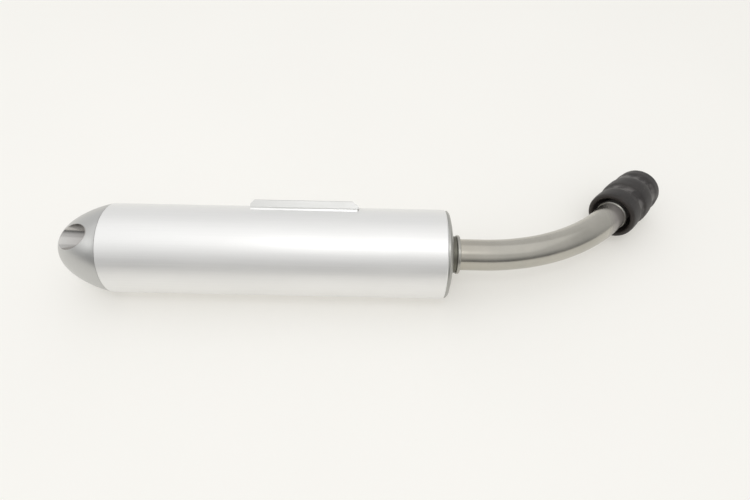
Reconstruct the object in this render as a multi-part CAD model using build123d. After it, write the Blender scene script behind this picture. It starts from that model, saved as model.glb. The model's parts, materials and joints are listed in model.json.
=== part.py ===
# Small two-stroke motocross silencer: round aluminium can, bullet nose with an
# offset outlet bore, domed inlet cap, bent inlet pipe and rubber coupler.
# Millimetres.  +X points to the inlet end, +Z up.  The can and the lower edge
# of the coupler rest on Z = 0.
from build123d import *
from math import sin, cos, asin, sqrt, pi, radians, degrees
import os

# ---------------------------------------------------------------- dimensions
CAN_R = 38.0            # outside radius of the can
CAN_WALL = 1.5
CAN_LEN = 280.0
X_L = -222.0            # nose end of the can
X_R = X_L + CAN_LEN     # inlet end of the can
BORE_R = CAN_R - CAN_WALL

NOSE_LEN = 46.2         # bullet nose, ahead of the can's end face
NOSE_R = 37.8
NOSE_A, NOSE_B = 1.23, 0.446   # exponents of the bullet's curve
SKIRT_R = 34.4          # threaded spigot of the nose
SKIRT_LEN = 20.0
CHAMBER_R = 30.5        # hollow behind the nose

OUT_R = 10.7            # outlet bore in the nose
OUT_OFF = 23.7          # its distance from the can's axis at the can's end face
OUT_ANG = 72.0          # its direction, degrees up from the front
OUT_TILT = 6.0          # it splays outwards by this much
SLEEVE_RI = 9.8

RAIL_ANG = 145.0        # direction of the rail's outward normal, degrees up from the front
RAIL_W = 30.0
RAIL_TOP = 42.2         # distance of the rail's top face from the can's axis
RAIL_X0, RAIL_X1 = -104.8, -14.5
STRIP_R = CAN_R + 1.2   # curved strip under the rail
STRIP_LIP = 3.0         # it stands out this far beside the rail
INSERT_X = (-85.0, -35.0)
INSERT_R = 4.5
M6_MINOR_R = 2.5
RIVET_X = (-97.0, -68.0, -52.0, -23.0)
RIVET_R = 2.0

PIPE_R = 13.3
PIPE_WALL = 1.5
PIPE_IN = 36.0          # inner end of the pipe, inside the core
BEND_X = 92.0           # start of the bend
BEND_R = 171.4          # centre-line radius
BEND_DEG = 46.8
TAIL = 40.6             # straight end of the pipe after the bend
MOUTH_AT = 2.6         # coupler's mouth, along that straight end

CORE_RI = 13.34
CORE_WALL = 1.2
CORE_RO = CORE_RI + CORE_WALL
CORE_X0, CORE_X1 = -202.0, 44.0
HOLE_R = 2.0

C_LEN = 60.8            # coupler
C_R = 22.2              # its three raised bands
C_R_WAIST = 20.6        # the two waists between them
C_R_END = 20.5
C_BORE = 13.35
C_GRIP0 = 9.0           # pipe bore starts here, past the wide mouth
C_GRIP1 = 38.5          # and ends at the inner stop lip
C_LIP = 2.5

os.makedirs("parts", exist_ok=True)
P = {}                  # node name -> shape, built about the X axis


def turned(pts):
    """Solid of revolution about X from (x, r) corner points."""
    return revolve(make_face(Polyline(*[(x, r) for x, r in pts], close=True)), Axis.X, 360)


def ring(x0, x1, ri, ro, c=0.0):
    """Ring about X, with its outer edges chamfered by c."""
    if c:
        return turned([(x0, ri), (x0, ro - c), (x0 + c, ro), (x1 - c, ro), (x1, ro - c), (x1, ri)])
    return turned([(x0, ri), (x0, ro), (x1, ro), (x1, ri)])


def rod(x0, x1, r, y=0.0, z=0.0):
    """Round bar along X."""
    return Pos((x0 + x1) / 2, y, z) * Rot(0, 90, 0) * Cylinder(r, x1 - x0)


def out_dir(deg):
    """Unit vector across the can, deg up from the front (-Y)."""
    a = radians(deg)
    return Vector(0, -cos(a), sin(a))


def radial_plane(x, deg, dist):
    """Plane whose z points away from the can's axis, at dist from it."""
    d = out_dir(deg)
    return Plane(origin=(x, d.Y * dist, d.Z * dist), x_dir=(1, 0, 0), z_dir=(0, d.Y, d.Z))


def nose_r(u, grow=0.0):
    return NOSE_R * (1 - (u / NOSE_LEN) ** NOSE_A) ** NOSE_B


# ------------------------------------------------------------------- the can
can = turned([(X_L, BORE_R), (X_L, CAN_R - 0.5), (X_L + 0.5, CAN_R), (X_R - 0.8, CAN_R), (X_R, CAN_R - 0.6), (X_R, BORE_R)])

# ---------------------------------------------------------------- the nose
us = [NOSE_LEN * sin(i * pi / 2 / 14) for i in range(15)]
outer_pts = [(X_L - u, nose_r(u) if i < 14 else 0.0) for i, u in enumerate(us)]
outer = Spline(*outer_pts, tangents=[(-1, -0.16), (0, -1)])
S0, S1 = X_L, X_L + SKIRT_LEN
GROOVE_X = X_L + 3.6
chain = [
    (X_L - NOSE_LEN, 0.0), (X_L - 18.0, 0.0),
    (X_L - 16.0, 7.0), (X_L - 4.0, 11.5), (X_L - 2.0, 13.0), (X_L - 2.0, CHAMBER_R - 1.5), (X_L - 0.5, CHAMBER_R), (S1, CHAMBER_R),
    (S1, SKIRT_R - 0.8), (S1 - 0.8, SKIRT_R),
    (X_L + 7.0, SKIRT_R), (X_L + 7.0, BORE_R - 0.1),
    (GROOVE_X + 1.3, BORE_R - 0.1), (GROOVE_X + 1.3, BORE_R - 2.05),
    (GROOVE_X - 1.3, BORE_R - 2.05), (GROOVE_X - 1.3, BORE_R - 0.1),
    (X_L, BORE_R - 0.1), (X_L, NOSE_R),
]
edges = [outer] + [Line(chain[i], chain[i + 1]) for i in range(len(chain) - 1)]
nose = revolve(Face(Wire(edges)), Axis.X, 360)
# the outlet bore starts in the chamber and breaks out through the flank
od = out_dir(OUT_ANG)
t = radians(OUT_TILT)
out_o = Vector(X_L, od.Y * OUT_OFF, od.Z * OUT_OFF)
out_d = Vector(-cos(t), od.Y * sin(t), od.Z * sin(t))


def outlet_rod(s0, s1, r):
    """Round bar on the outlet's axis, s measured outwards from the can's end face."""
    return Plane(origin=out_o + out_d * s0, z_dir=out_d) * Pos(0, 0, (s1 - s0) / 2) * Cylinder(r, s1 - s0)


nose = nose - outlet_rod(-0.6, 70, OUT_R)
P["nose_cap"] = nose

SL0, SL1 = -0.4, 8.2
P["outlet_sleeve"] = outlet_rod(SL0, SL1, OUT_R) - outlet_rod(SL0 - 1, SL1 + 1, SLEEVE_RI)
P["nose_o_ring"] = Pos(GROOVE_X, 0, 0) * Rot(0, 90, 0) * Torus(BORE_R - 1.0, 0.98)
# threaded ring bonded inside the can: the nose's spigot screws into it
P["nose_thread_ring"] = turned([(X_L + 7.4, SKIRT_R + 0.02), (X_L + 7.4, BORE_R), (S1 + 4, BORE_R), (S1 + 4, SKIRT_R - 2.0), (S1 + 0.6, SKIRT_R - 2.0), (S1 + 0.6, SKIRT_R + 0.02)])

# ------------------------------------------------- packing and perforated core
PLATE_X = S1 + 4.2
P["core_end_plate"] = turned([
    (PLATE_X, CORE_RO + 0.02), (PLATE_X, BORE_R - 0.1), (PLATE_X + 6, BORE_R - 0.1), (PLATE_X + 6, BORE_R - 1.3),
    (PLATE_X + 1.5, BORE_R - 1.3), (PLATE_X + 1.5, CORE_RO + 1.5), (PLATE_X + 8, CORE_RO + 1.5), (PLATE_X + 8, CORE_RO + 0.02)])

core = ring(CORE_X0, CORE_X1, CORE_RI, CORE_RO)
holes = []
n_rows, n_round = 20, 10
x_a, x_b = PLATE_X + 16, CORE_X1 - 22
for i in range(n_rows):
    x = x_a + (x_b - x_a) * i / (n_rows - 1)
    for k in range(n_round // 2):
        a = 360.0 / n_round * (k + 0.5 * (i % 2))
        holes.append(Pos(x, 0, 0) * Rot(a, 0, 0) * Cylinder(HOLE_R, 2 * CORE_RO + 6))
core = core.cut(*holes)
P["perforated_core"] = core
P["core_ferrule"] = turned([
    (34.0, CORE_RO + 0.02), (34.0, CORE_RO + 1.6), (45.0, CORE_RO + 1.6), (47.0, CORE_RO + 4.5), (49.4, CORE_RO + 4.5),
    (49.4, PIPE_R + 0.02), (CORE_X1 + 0.2, PIPE_R + 0.02), (CORE_X1 + 0.2, CORE_RO + 0.02)])

W0, W1 = PLATE_X + 8.4, 33.6
P["steel_wool_wrap"] = ring(W0, W1, CORE_RO + 0.02, CORE_RO + 4.0)
back_lo, back_hi = BORE_R - 1.5, BORE_R - 0.05
packing = ring(W0, 45.4, CORE_RO + 4.05, BORE_R - 0.1)
packing = packing - ring(33.0, 46.0, CORE_RO, CORE_RO + 6.0)

# ------------------------------------------------------------- mounting rail
def sector(x0, x1, ri, ro, half_w):
    """Curved strip on the can under the rail, half_w to each side of its middle."""
    d = out_dir(RAIL_ANG)
    block = Plane(origin=((x0 + x1) / 2, 0, 0), x_dir=(1, 0, 0), z_dir=(0, d.Y, d.Z)) * Pos(0, 0, 40) * Box(x1 - x0, 2 * half_w, 80)
    return ring(x0, x1, ri, ro) & block


strip = sector(RAIL_X0 + 1.0, RAIL_X1 - 1.0, CAN_R + 0.01, STRIP_R, RAIL_W / 2 + STRIP_LIP)
d = out_dir(RAIL_ANG)
rail_pl = Plane(origin=(0, 0, 0), x_dir=(1, 0, 0), z_dir=(0, d.Y, d.Z))
# side view of the rail: ramped ends
side = make_face(Polyline((RAIL_X0, 30), (RAIL_X0, 38.4), (RAIL_X0 + 3.5, RAIL_TOP), (RAIL_X1 - 5.5, RAIL_TOP), (RAIL_X1, 38.0), (RAIL_X1, 30), close=True))
rail = extrude(Plane.XZ.offset(-RAIL_W / 2) * side, RAIL_W)
rail = rail_pl * rail
rail = rail - ring(RAIL_X0 - 5, RAIL_X1 + 5, 1.0, STRIP_R + 0.01)
rail_edges = [e for e in rail.edges() if abs(e.length - (RAIL_X1 - RAIL_X0 - 9.0)) < 0.5]
if rail_edges:
    rail = fillet(rail_edges, 0.9)

inserts, drills_i = [], []
INSERT_LOW = BORE_R     # they pass the strip and the can wall and butt on the backing plate
for x in INSERT_X:
    pl = radial_plane(x, RAIL_ANG, 0)
    body = pl * Pos(0, 0, (INSERT_LOW + RAIL_TOP) / 2) * Cylinder(INSERT_R, RAIL_TOP - INSERT_LOW)
    drills_i.append(body)
    inserts.append(body - pl * Pos(0, 0, RAIL_TOP) * Cylinder(M6_MINOR_R, 20))
P["rail_threaded_inserts"] = Compound(children=inserts)

# countersunk rivets, flush with the rail's face, peened over inside the can
rivets, drills_r = [], []
for x in RIVET_X:
    pl = radial_plane(x, RAIL_ANG, 0)
    lo, hi = back_lo, RAIL_TOP
    shank = pl * Pos(0, 0, (lo - 0.5 + hi) / 2) * Cylinder(RIVET_R, hi - lo + 0.5)
    head = pl * Pos(0, 0, hi - 0.8) * Cone(RIVET_R, 3.6, 1.6)
    tail = pl * Pos(0, 0, lo - 0.85) * Cylinder(2.9, 1.2)
    rivets.append(shank + head + tail)
    drills_r.append(pl * Pos(0, 0, 40) * Cylinder(RIVET_R + 0.01, 30))
    drills_r.append(pl * Pos(0, 0, hi - 0.8) * Cone(RIVET_R + 0.01, 3.61, 1.6))
P["rail_rivets"] = Compound(children=rivets)

backing = sector(RAIL_X0 + 2, RAIL_X1 - 2, back_lo + 0.0, back_hi, RAIL_W / 2)
pocket = sector(RAIL_X0 + 1, RAIL_X1 - 1, back_lo - 2.0, BORE_R + 1, RAIL_W / 2 + 1)
backing = backing.cut(*drills_r)
strip = strip.cut(*drills_r, *drills_i)
rail = rail.cut(*drills_r, *drills_i)
can = can.cut(*drills_r, *drills_i)
P["can_shell"] = can
P["mount_rail"] = rail
P["rail_base_strip"] = strip
P["rail_backing_plate"] = backing
P["glass_packing"] = packing - pocket

# ------------------------------------------------------------ inlet end
# pressed steel cap: flange over the can's end, spigot inside it, shallow dome
cap_out = [(X_R + 0.02, CAN_R - 1.0), (X_R + 1.6, CAN_R - 0.7), (X_R + 3.0, CAN_R - 2.2), (X_R + 4.6, 30.0), (X_R + 6.0, 23.0), (X_R + 7.0, 17.5), (X_R + 7.0, PIPE_R + 0.02)]
cap_in = [(X_R + 5.0, PIPE_R + 0.02), (X_R + 5.0, 17.0), (X_R + 4.0, 22.4), (X_R + 2.6, 29.4), (X_R + 0.2, 34.9), (X_R - 12.0, 34.9), (X_R - 12.0, BORE_R - 0.02), (X_R + 0.02, BORE_R - 0.02)]
P["inlet_cap"] = turned(cap_out + cap_in)
P["inlet_seal_ring"] = ring(X_R + 7.0, X_R + 10.4, PIPE_R + 0.02, 15.6, 0.3)
P["inlet_collar"] = ring(X_R + 10.4, X_R + 13.2, PIPE_R + 0.02, 16.6, 0.5)

# bent pipe; the bend leans down so that the coupler's far edge meets Z = 0
drop = CAN_R - C_R_END * 0.9918
lateral = BEND_R * (1 - cos(radians(BEND_DEG))) + (MOUTH_AT + C_LEN - 2.5) * sin(radians(BEND_DEG))
LEAN = -degrees(asin(drop / lateral))
e = Vector(0, cos(radians(LEAN)), sin(radians(LEAN)))
th = radians(BEND_DEG)


def arc_pt(a):
    return Vector(BEND_X, 0, 0) + e * BEND_R + Vector(1, 0, 0) * (BEND_R * sin(a)) - e * (BEND_R * cos(a))


bend_end = arc_pt(th)
tail_dir = Vector(1, 0, 0) * cos(th) + e * sin(th)
pipe_end = bend_end + tail_dir * TAIL
path = Wire([Line((PIPE_IN, 0, 0), (BEND_X, 0, 0)), ThreePointArc((BEND_X, 0, 0), arc_pt(th / 2), bend_end), Line(bend_end, pipe_end)])
start = Plane(origin=(PIPE_IN, 0, 0), x_dir=(0, 1, 0), z_dir=(1, 0, 0))
pipe = sweep(start * Circle(PIPE_R), path=path) - sweep(start * Circle(PIPE_R - PIPE_WALL), path=path)
P["inlet_pipe"] = pipe

mouth = bend_end + tail_dir * MOUTH_AT
side_dir = Vector(0, 0, 1).cross(tail_dir).normalized()
up_dir = tail_dir.cross(side_dir)
c_plane = Plane(origin=mouth, x_dir=tail_dir, z_dir=up_dir)
P["pipe_bead"] = c_plane * turned([(0.4, PIPE_R + 0.01), (0.4, PIPE_R + 0.3), (1.4, PIPE_R + 1.0), (2.6, PIPE_R + 1.0), (3.6, PIPE_R + 0.3), (3.6, PIPE_R + 0.01)])
# outside: mouth band, waist, middle band, waist, end band, all softly rounded
c_prof = Spline((0.0, C_R - 2.4), (0.7, C_R - 0.8), (3.0, C_R - 0.05), (11.5, C_R), (14.8, C_R - 0.5), (17.6, C_R_WAIST + 0.1), (20.6, C_R_WAIST),
                (23.0, C_R_WAIST + 0.7), (24.8, C_R - 0.1), (29.0, C_R + 0.35), (36.0, C_R + 0.15), (39.6, C_R - 0.5), (42.6, C_R_WAIST), (46.6, C_R_WAIST - 0.1),
                (49.0, C_R_WAIST + 0.3), (51.2, 21.15), (55.0, 20.8), (58.6, C_R_END - 0.1), (60.2, C_R_END - 0.9), (C_LEN, C_R_END - 2.4))
c_in = [(C_LEN, C_R_END - 2.4), (C_LEN, 15.2), (59.2, C_BORE), (C_GRIP1 + C_LIP, C_BORE), (C_GRIP1 + C_LIP, 12.3), (C_GRIP1, 12.3), (C_GRIP1, C_BORE),
        (C_GRIP0 + 1.5, C_BORE), (C_GRIP0, 15.6), (C_GRIP0 - 1.5, 16.8), (1.4, 17.6), (0.3, 18.3), (0.0, 19.0), (0.0, C_R - 2.4)]
c_edges = [c_prof] + [Line(c_in[i], c_in[i + 1]) for i in range(len(c_in) - 1)]
P["rubber_coupler"] = c_plane * revolve(Face(Wire(c_edges)), Axis.X, 360)

# ------------------------------------------------------- place and write out
placed = {n: Pos(0, 0, CAN_R) * s for n, s in P.items()}
bb = Compound(children=[s.moved(Location()) if hasattr(s, "moved") else s for s in placed.values()]).bounding_box()
dx, dy, dz = -(bb.min.X + bb.max.X) / 2, -(bb.min.Y + bb.max.Y) / 2, -bb.min.Z
for n, s in placed.items():
    s = Pos(dx, dy, dz) * s
    sol = s.solids()
    s = sol[0] if len(sol) == 1 else Compound(children=list(sol))
    export_step(s, f"parts/{n}.step")
    b = s.bounding_box()
    print(f"{n:24s} solids {len(sol)} vol {sum(q.volume for q in sol):10.1f} x {b.min.X:8.2f} {b.max.X:8.2f} y {b.min.Y:8.2f} {b.max.Y:8.2f} z {b.min.Z:7.2f} {b.max.Z:7.2f}")


def world(v):
    return (round(v.X + dx, 3), round(v.Y + dy, 3), round(v.Z + CAN_R + dz, 3))


print("shift", round(dx, 3), round(dy, 3), round(dz, 3), "lean", round(LEAN, 3))
print("can axis", world(Vector(X_L, 0, 0)), world(Vector(X_R, 0, 0)))
print("mouth", world(mouth), "dir", tuple(round(c, 5) for c in (tail_dir.X, tail_dir.Y, tail_dir.Z)), "pipe end", world(pipe_end), "coupler end", world(mouth + tail_dir * C_LEN), "grip", world(mouth + tail_dir * C_GRIP0), "lip far side", world(mouth + tail_dir * (C_GRIP1 + C_LIP)))
print("outlet sleeve", world(out_o + out_d * SL0), world(out_o + out_d * SL1), "dir", tuple(round(c, 5) for c in (out_d.X, out_d.Y, out_d.Z)))
for x in INSERT_X:
    print("insert middle", world(Vector(x, 0, 0) + d * ((RAIL_TOP + INSERT_LOW) / 2)), "length", round(RAIL_TOP - INSERT_LOW, 3), "dir", d.Y, d.Z)
print("rail face", world(Vector(-60, 0, 0) + d * RAIL_TOP))
print("box", bb.size)
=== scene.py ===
import bpy, bmesh, json, math
from mathutils import Vector, Matrix


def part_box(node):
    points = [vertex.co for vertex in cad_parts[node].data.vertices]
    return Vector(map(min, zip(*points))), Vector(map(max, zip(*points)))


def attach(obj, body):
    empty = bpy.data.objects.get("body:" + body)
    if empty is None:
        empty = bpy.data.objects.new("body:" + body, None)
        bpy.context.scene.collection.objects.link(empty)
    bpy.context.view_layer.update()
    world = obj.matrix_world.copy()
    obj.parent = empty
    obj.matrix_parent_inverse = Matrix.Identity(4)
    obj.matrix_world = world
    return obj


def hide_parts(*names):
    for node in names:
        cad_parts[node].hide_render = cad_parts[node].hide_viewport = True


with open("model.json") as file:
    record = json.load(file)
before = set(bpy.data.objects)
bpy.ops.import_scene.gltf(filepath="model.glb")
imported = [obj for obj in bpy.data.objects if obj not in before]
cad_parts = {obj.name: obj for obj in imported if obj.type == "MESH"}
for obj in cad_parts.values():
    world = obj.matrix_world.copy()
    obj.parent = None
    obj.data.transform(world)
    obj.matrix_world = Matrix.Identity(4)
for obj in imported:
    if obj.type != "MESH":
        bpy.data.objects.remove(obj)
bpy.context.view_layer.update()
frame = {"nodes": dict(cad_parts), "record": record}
NODES = frame["nodes"]
REC = frame["record"]
MOUNTS = {m["name"]: m for m in REC["mounts"]}
scene = bpy.context.scene

lo_can, hi_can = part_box("can_shell")
AX_Y = (lo_can.y + hi_can.y) / 2          # the can's axis
AX_Z = (lo_can.z + hi_can.z) / 2
X_NOSE, X_INLET = lo_can.x, hi_can.x      # the can's two ends


# ------------------------------------------------------------------ nodes
class G:
    """Small helper for building a material's node tree."""

    def __init__(self, name):
        self.m = bpy.data.materials.new(name)
        self.m.use_nodes = True
        self.t = self.m.node_tree
        self.b = self.t.nodes["Principled BSDF"]
        self.co = None

    def n(self, kind, **kw):
        n = self.t.nodes.new(kind)
        for k, v in kw.items():
            setattr(n, k, v)
        return n

    def link(self, a, b):
        self.t.links.new(a, b)

    def coords(self):
        if self.co is None:
            self.co = self.n("ShaderNodeTexCoord").outputs["Object"]
        return self.co

    def mapped(self, scale=(1, 1, 1), loc=(0, 0, 0), rot=(0, 0, 0), src=None):
        m = self.n("ShaderNodeMapping")
        m.inputs["Location"].default_value = loc
        m.inputs["Rotation"].default_value = rot
        m.inputs["Scale"].default_value = scale
        self.link(src or self.coords(), m.inputs["Vector"])
        return m.outputs["Vector"]

    def noise(self, vec, scale=1.0, detail=2.0, rough=0.5, dist=0.0):
        n = self.n("ShaderNodeTexNoise")
        n.inputs["Scale"].default_value = scale
        n.inputs["Detail"].default_value = detail
        n.inputs["Roughness"].default_value = rough
        n.inputs["Distortion"].default_value = dist
        self.link(vec, n.inputs["Vector"])
        return n.outputs["Fac"]

    def ramp(self, fac, stops, interp="LINEAR"):
        r = self.n("ShaderNodeValToRGB")
        r.color_ramp.interpolation = interp
        el = r.color_ramp.elements
        while len(el) > 1:
            el.remove(el[-1])
        for i, (p, c) in enumerate(stops):
            c = (c, c, c, 1) if isinstance(c, (int, float)) else (*c, 1)
            e = el[0] if i == 0 else el.new(p)
            e.position = p
            e.color = c
        self.link(fac, r.inputs["Fac"])
        return r.outputs["Color"]

    def math(self, op, a, b=None, c=None):
        n = self.n("ShaderNodeMath", operation=op)
        for i, v in enumerate((a, b, c)):
            if v is None:
                continue
            if isinstance(v, (int, float)):
                n.inputs[i].default_value = v
            else:
                self.link(v, n.inputs[i])
        return n.outputs[0]

    def maprange(self, v, a, b, c, d):
        n = self.n("ShaderNodeMapRange")
        self.link(v, n.inputs["Value"])
        for k, x in zip(("From Min", "From Max", "To Min", "To Max"), (a, b, c, d)):
            n.inputs[k].default_value = x
        return n.outputs["Result"]

    def mix(self, fac, a, b, blend="MIX"):
        n = self.n("ShaderNodeMix", data_type="RGBA", blend_type=blend)
        for sock, v in ((n.inputs[0], fac), (n.inputs[6], a), (n.inputs[7], b)):
            if isinstance(v, (int, float)):
                sock.default_value = v
            elif isinstance(v, tuple):
                sock.default_value = (*v, 1)
            else:
                self.link(v, sock)
        return n.outputs[2]

    def bump(self, height, strength=0.2, dist=0.0002, normal=None):
        n = self.n("ShaderNodeBump")
        n.inputs["Strength"].default_value = strength
        n.inputs["Distance"].default_value = dist
        self.link(height, n.inputs["Height"])
        if normal is not None:
            self.link(normal, n.inputs["Normal"])
        return n.outputs["Normal"]

    def xyz(self, src=None):
        s = self.n("ShaderNodeSeparateXYZ")
        self.link(src or self.coords(), s.inputs[0])
        return s.outputs


def rings_vec(g, freq):
    """Coordinates that only change along the can's axis: turned surfaces."""
    return g.mapped(scale=(freq, 0.0, 0.0))


def metal_base(g, colour, rough, metallic=1.0):
    g.b.inputs["Metallic"].default_value = metallic
    g.b.inputs["Roughness"].default_value = rough
    g.b.inputs["Base Color"].default_value = (*colour, 1)


OUT = MOUNTS["outlet_bore"]


def bore_distance(g):
    """Distance of a point from the outlet bore's axis."""
    p = Vector(OUT["pos_m"])
    a = Vector(OUT["axis"]).normalized()
    sub = g.n("ShaderNodeVectorMath", operation="SUBTRACT")
    g.link(g.coords(), sub.inputs[0])
    sub.inputs[1].default_value = p
    cr = g.n("ShaderNodeVectorMath", operation="CROSS_PRODUCT")
    g.link(sub.outputs["Vector"], cr.inputs[0])
    cr.inputs[1].default_value = a
    ln = g.n("ShaderNodeVectorMath", operation="LENGTH")
    g.link(cr.outputs["Vector"], ln.inputs[0])
    return ln.outputs["Value"]


# --------------------------------------------------------------- materials
def mat_can():
    """Satin aluminium tube with a faint lengthwise grain and handling smudges."""
    g = G("can satin aluminium")
    metal_base(g, (0.88, 0.875, 0.865), 0.42)
    grain = g.noise(g.mapped(scale=(9, 1500, 1500)), detail=3, rough=0.6)
    cloud = g.noise(g.mapped(scale=(14, 26, 26)), detail=4, rough=0.55)
    fine = g.noise(g.mapped(scale=(900, 900, 900)), detail=2)
    col = g.mix(g.maprange(grain, 0.25, 0.75, 0, 1), (0.865, 0.863, 0.856), (0.905, 0.901, 0.893))
    col = g.mix(g.maprange(cloud, 0.3, 0.75, 0.0, 0.22), col, (0.83, 0.825, 0.81))
    g.link(col, g.b.inputs["Base Color"])
    r = g.math("ADD", g.maprange(cloud, 0.3, 0.7, 0.44, 0.51), g.maprange(grain, 0.2, 0.8, -0.02, 0.03))
    g.link(r, g.b.inputs["Roughness"])
    n1 = g.bump(grain, 0.06, 0.00004)
    g.link(g.bump(fine, 0.03, 0.00003, n1), g.b.inputs["Normal"])
    return g.m


def mat_nose():
    """Machined aluminium: fine turning rings about the can's axis."""
    g = G("nose machined aluminium")
    metal_base(g, (0.54, 0.54, 0.53), 0.36)
    ringn = g.noise(rings_vec(g, 3600), detail=2, rough=0.6)
    ring2 = g.noise(rings_vec(g, 700), detail=1)
    cloud = g.noise(g.mapped(scale=(40, 40, 40)), detail=3)
    col = g.mix(g.maprange(ringn, 0.3, 0.7, 0, 1), (0.51, 0.51, 0.5), (0.57, 0.57, 0.56))
    col = g.mix(g.maprange(cloud, 0.35, 0.7, 0, 0.2), col, (0.54, 0.535, 0.52))
    # the outlet bore is duller and browner than the turned outside; painted shade makes it darker the deeper it goes,
    # from light near the tip to dark inside
    inside = g.maprange(bore_distance(g), 0.0108, 0.0112, 1, 0)
    x = g.xyz()["X"]
    bore_painted_shade = g.maprange(x, X_NOSE - 0.04, X_NOSE - 0.008, 0.25, 1.0)
    col = g.mix(inside, col, g.mix(bore_painted_shade, (0.68, 0.67, 0.655), (0.33, 0.315, 0.3)))
    g.link(col, g.b.inputs["Base Color"])
    r = g.math("ADD", g.maprange(ring2, 0.3, 0.7, 0.29, 0.35), g.maprange(cloud, 0.3, 0.7, -0.02, 0.03))
    g.link(g.math("ADD", r, g.math("MULTIPLY", inside, -0.11)), g.b.inputs["Roughness"])
    g.link(g.bump(ringn, 0.12, 0.00003), g.b.inputs["Normal"])
    return g.m


def mat_turned(name, colour, rough, freq=2600, var=0.06):
    g = G(name)
    metal_base(g, colour, rough)
    ringn = g.noise(rings_vec(g, freq), detail=2, rough=0.6)
    cloud = g.noise(g.mapped(scale=(60, 60, 60)), detail=4)
    d = tuple(max(0, c * (1 - 2 * var)) for c in colour)
    u = tuple(min(1, c * (1 + var)) for c in colour)
    col = g.mix(g.maprange(cloud, 0.3, 0.7, 0, 1), d, u)
    g.link(col, g.b.inputs["Base Color"])
    g.link(g.maprange(cloud, 0.3, 0.7, rough - 0.04, rough + 0.06), g.b.inputs["Roughness"])
    g.link(g.bump(ringn, 0.12, 0.00003), g.b.inputs["Normal"])
    return g.m


def mat_plain_metal(name, colour, rough, grain=(300, 300, 300), var=0.08, bump=0.06):
    g = G(name)
    metal_base(g, colour, rough)
    gr = g.noise(g.mapped(scale=grain), detail=3, rough=0.6)
    cloud = g.noise(g.mapped(scale=(45, 45, 45)), detail=4)
    d = tuple(c * (1 - var) for c in colour)
    u = tuple(min(1, c * (1 + var)) for c in colour)
    col = g.mix(g.maprange(cloud, 0.3, 0.7, 0, 1), d, u)
    col = g.mix(g.maprange(gr, 0.3, 0.7, 0, 0.25), col, tuple(c * 0.9 for c in colour))
    g.link(col, g.b.inputs["Base Color"])
    g.link(g.maprange(cloud, 0.3, 0.7, rough - 0.04, rough + 0.06), g.b.inputs["Roughness"])
    g.link(g.bump(gr, bump, 0.00005), g.b.inputs["Normal"])
    return g.m


def mat_pipe():
    """Drawn steel tube, warm grey, with light handling marks."""
    g = G("pipe satin steel")
    metal_base(g, (0.5, 0.485, 0.45), 0.3)
    cloud = g.noise(g.mapped(scale=(30, 30, 30)), detail=4, rough=0.6)
    fine = g.noise(g.mapped(scale=(420, 420, 420)), detail=3)
    x = g.xyz()["X"]
    heat = g.maprange(x, X_INLET + 0.012, X_INLET + 0.05, 1, 0)
    col = g.mix(g.maprange(cloud, 0.3, 0.72, 0, 1), (0.45, 0.435, 0.39), (0.52, 0.5, 0.45))
    col = g.mix(g.math("MULTIPLY", heat, 0.25), col, (0.46, 0.41, 0.33))
    # duller where the rubber has rubbed it, at the mouth of the coupler
    rub = g.maprange(x, MOUTH_X - 0.011, MOUTH_X - 0.002, 0, 1)
    col = g.mix(rub, col, (0.3, 0.28, 0.262))
    g.link(col, g.b.inputs["Base Color"])
    g.link(g.maprange(rub, 0, 1, 1.0, 0.35), g.b.inputs["Metallic"])
    g.link(g.maprange(cloud, 0.3, 0.7, 0.19, 0.25), g.b.inputs["Roughness"])
    g.link(g.bump(fine, 0.05, 0.00004), g.b.inputs["Normal"])
    return g.m


def mat_rubber(name, dark=(0.022, 0.019, 0.018), light=(0.05, 0.045, 0.042), rough=0.5):
    g = G(name)
    g.b.inputs["Roughness"].default_value = rough
    g.b.inputs["Specular IOR Level"].default_value = 0.45
    cloud = g.noise(g.mapped(scale=(55, 55, 55)), detail=5, rough=0.6)
    fine = g.noise(g.mapped(scale=(1300, 1300, 1300)), detail=2)
    dust = g.noise(g.mapped(scale=(220, 220, 220)), detail=4, rough=0.7)
    col = g.mix(g.maprange(cloud, 0.3, 0.7, 0, 1), dark, light)
    col = g.mix(g.maprange(dust, 0.58, 0.75, 0, 0.35), col, (0.1, 0.092, 0.085))
    g.link(col, g.b.inputs["Base Color"])
    g.link(g.maprange(cloud, 0.3, 0.7, rough - 0.07, rough + 0.1), g.b.inputs["Roughness"])
    g.link(g.bump(fine, 0.2, 0.00006, g.bump(cloud, 0.1, 0.0003)), g.b.inputs["Normal"])
    return g.m


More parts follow.
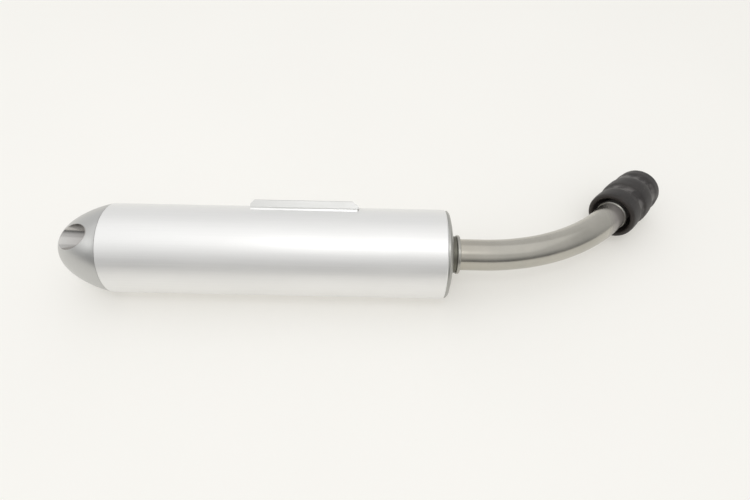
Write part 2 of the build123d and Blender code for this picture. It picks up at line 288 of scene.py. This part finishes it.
def mat_coupler(origin, axis):
    """Moulded rubber: browner at its mouth, with light specks, and lighter, glossier patches in its waists that are
    partly dust and partly painted sheen.
    """
    g = G("coupler rubber")
    g.b.inputs["Specular IOR Level"].default_value = 0.4
    sub = g.n("ShaderNodeVectorMath", operation="SUBTRACT")
    g.link(g.coords(), sub.inputs[0])
    sub.inputs[1].default_value = origin
    dot = g.n("ShaderNodeVectorMath", operation="DOT_PRODUCT")
    g.link(sub.outputs["Vector"], dot.inputs[0])
    dot.inputs[1].default_value = axis
    s_mm = g.math("MULTIPLY", dot.outputs["Value"], 1000.0)
    cloud = g.noise(g.mapped(scale=(55, 55, 55)), detail=5, rough=0.6)
    blot = g.noise(g.mapped(scale=(95, 95, 95), loc=(0.31, 0.12, 0.4)), detail=3, rough=0.55)
    fine = g.noise(g.mapped(scale=(1500, 1500, 1500)), detail=2)
    specks = g.noise(g.mapped(scale=(420, 420, 420)), detail=4, rough=0.7)

    def near(centre, half):
        d = g.math("ABSOLUTE", g.math("SUBTRACT", s_mm, centre))
        return g.maprange(d, half * 0.4, half, 1, 0)

    # lighter, glossier patches in the two waists: partly dust, partly a painted sheen standing in for highlights
    waist_dust_and_sheen = g.math("MAXIMUM", near(19.4, 5.0), near(45.4, 5.5))
    dust = g.math("MULTIPLY", waist_dust_and_sheen, g.maprange(blot, 0.43, 0.6, 0, 1))
    col = g.mix(g.maprange(cloud, 0.3, 0.7, 0, 1), (0.02, 0.0172, 0.0162), (0.047, 0.042, 0.0395))
    col = g.mix(g.math("MULTIPLY", dust, 0.8), col, (0.135, 0.127, 0.121))
    col = g.mix(g.maprange(specks, 0.6, 0.74, 0, 0.4), col, (0.11, 0.1, 0.092))
    mouth = g.maprange(s_mm, 0.0, 3.0, 0.6, 0.0)
    col = g.mix(mouth, col, (0.026, 0.0195, 0.0155))
    g.link(col, g.b.inputs["Base Color"])
    g.link(g.math("SUBTRACT", g.maprange(cloud, 0.3, 0.7, 0.42, 0.58), g.math("MULTIPLY", dust, 0.1)), g.b.inputs["Roughness"])
    g.link(g.bump(fine, 0.22, 0.00006, g.bump(blot, 0.25, 0.0006)), g.b.inputs["Normal"])
    return g.m


def mat_fibre(name, a, b, metallic=0.0):
    g = G(name)
    g.b.inputs["Metallic"].default_value = metallic
    g.b.inputs["Roughness"].default_value = 0.85
    f = g.noise(g.mapped(scale=(260, 700, 700)), detail=6, rough=0.7, dist=2.0)
    g.link(g.mix(g.maprange(f, 0.3, 0.7, 0, 1), a, b), g.b.inputs["Base Color"])
    g.link(g.bump(f, 0.7, 0.0006), g.b.inputs["Normal"])
    return g.m


def dress(node, mat):
    o = NODES[node]
    o.data.materials.clear()
    o.data.materials.append(mat)
    return o


M_can = mat_can()
M_nose = mat_nose()
MOUTH_X = frame["record"]["mounts"][0]["pos_m"][0] - 0.0501 * frame["record"]["mounts"][0]["axis"][0]   # of the coupler
M_pipe = mat_pipe()
M_cap = mat_turned("cap grey steel", (0.42, 0.42, 0.4), 0.34)
M_collar = mat_turned("collar steel", (0.42, 0.41, 0.375), 0.3)
# the ring at the inlet seal is given a plain dark colour
M_ring = mat_turned("dark inlet ring", (0.17, 0.165, 0.14), 0.45, var=0.15)
M_rail = mat_plain_metal("rail satin aluminium", (0.7, 0.7, 0.685), 0.45, grain=(30, 900, 900), var=0.03)
M_strip = mat_plain_metal("strip aluminium", (0.86, 0.86, 0.85), 0.35, grain=(30, 900, 900))
M_insert = mat_plain_metal("insert plated steel", (0.55, 0.55, 0.52), 0.3)
M_rivet = mat_plain_metal("rivet aluminium", (0.7, 0.7, 0.69), 0.35)
M_inner_al = mat_turned("inner aluminium", (0.68, 0.68, 0.67), 0.4)
M_inner_st = mat_plain_metal("inner steel", (0.45, 0.44, 0.42), 0.42)
# the sleeve's dark tone is partly steel's own colour and partly painted shade inside the outlet bore
M_sleeve = mat_turned("outlet sleeve steel", (0.3, 0.29, 0.28), 0.38)
M_oring = mat_rubber("seal rubber", (0.015, 0.015, 0.015), (0.03, 0.03, 0.03))
M_glass = mat_fibre("glass fibre", (0.72, 0.68, 0.56), (0.88, 0.86, 0.78))
M_wool = mat_fibre("steel wool", (0.2, 0.2, 0.19), (0.45, 0.44, 0.42), 0.9)

for node, mat in {
    "can_shell": M_can, "nose_cap": M_nose, "outlet_sleeve": M_sleeve, "nose_o_ring": M_oring,
    "nose_thread_ring": M_inner_al, "core_end_plate": M_inner_st, "perforated_core": M_inner_st,
    "core_ferrule": M_inner_st, "steel_wool_wrap": M_wool, "glass_packing": M_glass,
    "mount_rail": M_rail, "rail_base_strip": M_strip, "rail_backing_plate": M_inner_al,
    "rail_threaded_inserts": M_insert, "rail_rivets": M_rivet, "inlet_cap": M_cap,
    "inlet_seal_ring": M_ring, "inlet_collar": M_collar, "inlet_pipe": M_pipe,
    "pipe_bead": M_collar,
}.items():
    dress(node, mat)

# ------------------------------------------------------- mesh-built pieces
TAIL = Vector(REC["behaviour"]["joints"][0]["axis"]).normalized()   # the pipe's straight end
TURN = math.radians(46.8)
BEND_R = 0.1714
EX = Vector((1, 0, 0))
E = ((TAIL - EX * math.cos(TURN)) / math.sin(TURN)).normalized()    # the side it bends to
P0 = Vector((X_INLET - 0.022, AX_Y, AX_Z))
P1 = Vector((X_INLET + 0.034, AX_Y, AX_Z))
P2 = P1 + E * BEND_R + EX * (BEND_R * math.sin(TURN)) - E * (BEND_R * math.cos(TURN))
P3 = P2 + TAIL * 0.0406
MOUTH = P2 + TAIL * 0.0026


def new_object(name, verts, faces, mat):
    me = bpy.data.meshes.new(name)
    bm = bmesh.new()
    vs = [bm.verts.new(v) for v in verts]
    for f in faces:
        bm.faces.new([vs[i] for i in f])
    bmesh.ops.recalc_face_normals(bm, faces=bm.faces)
    for f in bm.faces:
        f.smooth = True
    bm.to_mesh(me)
    bm.free()
    me.materials.append(mat)
    o = bpy.data.objects.new(name, me)
    scene.collection.objects.link(o)
    return o


def tube_faces(n_rings, n_round):
    """Quads of a closed loop of rings: the last ring joins the first."""
    out = []
    for i in range(n_rings):
        k = (i + 1) % n_rings
        for j in range(n_round):
            a = (j + 1) % n_round
            out.append((i * n_round + j, i * n_round + a, k * n_round + a, k * n_round + j))
    return out


def pipe_mesh():
    """Bent tube with rolled lips, swept in fine steps so that its highlights run clean."""
    path = [(P0 + (P1 - P0) * (i / 14), EX) for i in range(14)]
    for i in range(73):
        a = TURN * i / 72
        c = P1 + E * BEND_R + EX * (BEND_R * math.sin(a)) - E * (BEND_R * math.cos(a))
        path.append((c, EX * math.cos(a) + E * math.sin(a)))
    path += [(P2 + TAIL * (0.0406 * i / 12), TAIL) for i in range(1, 13)]
    across = EX.cross(E).normalized()
    n = 112
    rings = []

    def put(c, d, r):
        b = across.cross(d).normalized()
        rings.append([c + (across * math.cos(t) + b * math.sin(t)) * r for t in (2 * math.pi * k / n for k in range(n))])

    ro, ri, lip = 0.0133, 0.0118, 0.0004
    c0, d0_ = path[0]
    put(c0, d0_, ri + lip)
    put(c0, d0_, ro - lip)
    put(c0 + d0_ * lip, d0_, ro)
    for c, d in path[1:-1]:
        put(c, d, ro)
    c1, d1 = path[-1]
    put(c1 - d1 * lip, d1, ro)
    put(c1, d1, ro - lip)
    put(c1, d1, ri + lip)
    put(c1 - d1 * lip, d1, ri)
    for c, d in reversed(path[1:-1]):
        put(c, d, ri)
    put(c0 + d0_ * lip, d0_, ri)
    verts = [v for ring in rings for v in ring]
    return new_object("inlet_pipe_detail", verts, tube_faces(len(rings), n), M_pipe)


def spline(pts, per=10):
    """Points on a smooth curve through pts (x, r)."""
    out = []
    for i in range(len(pts) - 1):
        p0 = pts[max(i - 1, 0)]
        p1, p2 = pts[i], pts[i + 1]
        p3 = pts[min(i + 2, len(pts) - 1)]
        d1 = [(p2[k] - p0[k]) / max(1e-9, p2[0] - p0[0]) for k in (0, 1)]
        d2 = [(p3[k] - p1[k]) / max(1e-9, p3[0] - p1[0]) for k in (0, 1)]
        h = p2[0] - p1[0]
        for j in range(per):
            t = j / per
            a, b = 2 * t**3 - 3 * t**2 + 1, t**3 - 2 * t**2 + t
            c, d = -2 * t**3 + 3 * t**2, t**3 - t**2
            out.append((p1[0] + h * t, a * p1[1] + b * h * d1[1] + c * p2[1] + d * h * d2[1]))
    out.append(pts[-1])
    return out


def coupler_mesh():
    """Moulded rubber sleeve: three soft bands, two waists, slightly uneven as rubber is."""
    from mathutils import noise
    outer = [(0.25, 20.6), (0.8, 21.4), (3.0, 22.12), (11.5, 22.15), (14.6, 21.75), (16.6, 21.0), (17.8, 20.62), (20.8, 20.55),
             (22.6, 21.0), (23.9, 21.8), (25.4, 22.3), (29.0, 22.5), (36.0, 22.3), (39.4, 21.7), (41.4, 20.9), (43.0, 20.55), (46.8, 20.45),
             (48.6, 20.8), (50.2, 21.1), (52.0, 21.1), (55.0, 20.75), (58.4, 20.35), (59.9, 19.8), (60.6, 19.0), (60.8, 18.1)]
    inner = [(60.8, 15.6), (60.4, 15.0), (59.2, 13.35), (50.0, 13.35), (41.2, 13.35), (41.0, 13.15), (41.0, 12.5), (40.8, 12.3), (38.7, 12.3), (38.5, 12.5), (38.5, 13.35),
             (24.0, 13.35), (10.5, 13.35), (9.0, 15.6), (7.5, 16.8), (1.6, 17.6), (0.6, 18.1), (0.1, 18.9), (0.0, 19.6)]
    n = 168
    a = Vector((0, 0, 1)).cross(TAIL).normalized()
    b = TAIL.cross(a)
    prof = [(s, r, True) for s, r in spline(outer, 7)] + [(s, r, False) for s, r in inner]
    verts = []
    for s, r, out in prof:
        for k in range(n):
            t = 2 * math.pi * k / n
            u = a * math.cos(t) + b * math.sin(t)
            p = MOUTH + TAIL * (s / 1000) + u * (r / 1000)
            if out:
                w = noise.noise(p * 70.0) * 0.16 + noise.noise(p * 190.0) * 0.07
                low = max(0.0, -u.z)          # stays clear of the floor underneath
                p = p + u * ((w - 0.12) * (1 - 0.7 * low) - 0.06 * low) / 1000
            verts.append(p)
    return new_object("rubber_coupler_detail", verts, tube_faces(len(prof), n), mat_coupler(MOUTH, TAIL))


pipe = pipe_mesh()
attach(pipe, "silencer")
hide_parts("inlet_pipe")
coupler = coupler_mesh()
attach(coupler, "coupler")
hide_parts("rubber_coupler")

# ------------------------------------------------------------------- floor
bm = bmesh.new()
bmesh.ops.create_grid(bm, x_segments=2, y_segments=2, size=6.0)
me = bpy.data.meshes.new("floor")
bm.to_mesh(me)
bm.free()
floor = bpy.data.objects.new("floor", me)
scene.collection.objects.link(floor)
floor.location = (0, 0, -0.0002)
g = G("floor white table")
g.b.inputs["Roughness"].default_value = 0.7
g.b.inputs["Specular IOR Level"].default_value = 0.2
c = g.noise(g.mapped(scale=(3, 3, 3)), detail=2)
g.link(g.mix(g.maprange(c, 0.3, 0.7, 0, 1), (0.60, 0.604, 0.6), (0.615, 0.618, 0.615)), g.b.inputs["Base Color"])
# a lit table: part of its light comes from within, so that shadows on it stay pale
g.b.inputs["Emission Color"].default_value = (1.0, 0.955, 0.86, 1)
g.b.inputs["Emission Strength"].default_value = 0.365
floor.data.materials.append(g.m)

# -------------------------------------------------------------------- light
w = bpy.data.worlds.new("studio")
scene.world = w
w.use_nodes = True
t = w.node_tree
for n in list(t.nodes):
    t.nodes.remove(n)
out = t.nodes.new("ShaderNodeOutputWorld")
bg = t.nodes.new("ShaderNodeBackground")
tc = t.nodes.new("ShaderNodeTexCoord")
sep = t.nodes.new("ShaderNodeSeparateXYZ")
t.links.new(tc.outputs["Generated"], sep.inputs[0])
# dark only low down in front, bright overhead and behind


def wn(kind, **kw):
    n = t.nodes.new(kind)
    for k, v in kw.items():
        setattr(n, k, v)
    return n


def wrange(src, a, b, c, d, kind="SMOOTHSTEP"):
    n = wn("ShaderNodeMapRange", interpolation_type=kind)
    t.links.new(src, n.inputs["Value"])
    for k, x in zip(("From Min", "From Max", "To Min", "To Max"), (a, b, c, d)):
        n.inputs[k].default_value = x
    return n.outputs["Result"]


low = wrange(sep.outputs["Y"], -0.95, 0.5, 0.16, 0.82)
high = wrange(sep.outputs["Z"], 0.06, 0.62, 0.0, 1.0)
mixw = wn("ShaderNodeMix", data_type="RGBA")
t.links.new(high, mixw.inputs[0])
t.links.new(low, mixw.inputs[6])
mixw.inputs[7].default_value = (0.78, 0.78, 0.775, 1)
side = wrange(sep.outputs["X"], 0.05, 0.95, 1.0, 0.82)
dim = wn("ShaderNodeMix", data_type="RGBA", blend_type="MULTIPLY")
dim.inputs[0].default_value = 1.0
t.links.new(mixw.outputs[2], dim.inputs[6])
t.links.new(side, dim.inputs[7])
t.links.new(dim.outputs[2], bg.inputs["Color"])
bg.inputs["Strength"].default_value = 1.0
t.links.new(bg.outputs[0], out.inputs[0])


def area(name, loc, target, size, power, colour=(1, 1, 1), size_y=None):
    d = bpy.data.lights.new(name, "AREA")
    d.energy = power
    d.color = colour
    d.shape = "RECTANGLE" if size_y else "SQUARE"
    d.size = size
    if size_y:
        d.size_y = size_y
    o = bpy.data.objects.new(name, d)
    scene.collection.objects.link(o)
    o.location = loc
    o.rotation_euler = (Vector(target) - Vector(loc)).to_track_quat("-Z", "Y").to_euler()
    return o


# a broad softbox overhead and a little behind, and a small key a little in front
area("overhead softbox", (-1.0, 0.08, 1.5), (-1.0, 0.079, 0), 4.6, 7.2, size_y=1.94)
area("left softbox", (-2.0, -0.42, 0.92), (-0.2, -0.04, 0.03), 0.9, 1.35, size_y=0.6)
area("key", (0.0, -0.40, 1.1), (0, -0.03, 0), 0.24, 1.15)

# ------------------------------------------------------------------- camera
F_PX, PITCH, ROLL, YAW = 525.8, math.radians(54.0), math.radians(-1.13), math.radians(-0.07)
fw = Vector((math.sin(YAW) * math.cos(PITCH), math.cos(YAW) * math.cos(PITCH), -math.sin(PITCH)))
r0 = Vector((math.cos(YAW), -math.sin(YAW), 0))
d0 = fw.cross(r0)
right = r0 * math.cos(ROLL) + d0 * math.sin(ROLL)
down = -r0 * math.sin(ROLL) + d0 * math.cos(ROLL)
cam_d = bpy.data.cameras.new("camera")
cam = bpy.data.objects.new("camera", cam_d)
scene.collection.objects.link(cam)
rot = Matrix((right, -down, -fw)).transposed().to_4x4()
# the view's middle falls 222 mm from the can's nose end
cam.matrix_world = Matrix.Translation((X_NOSE + 0.222, AX_Y - 0.2631, 0.4043)) @ rot
cam_d.sensor_width = 36
cam_d.lens = F_PX / 750 * 36
cam_d.clip_end = 50
cam_d.dof.use_dof = False
scene.camera = cam
scene.view_settings.view_transform = "Standard"
scene.view_settings.look = "None"
scene.view_settings.exposure = 0
scene.view_settings.gamma = 1
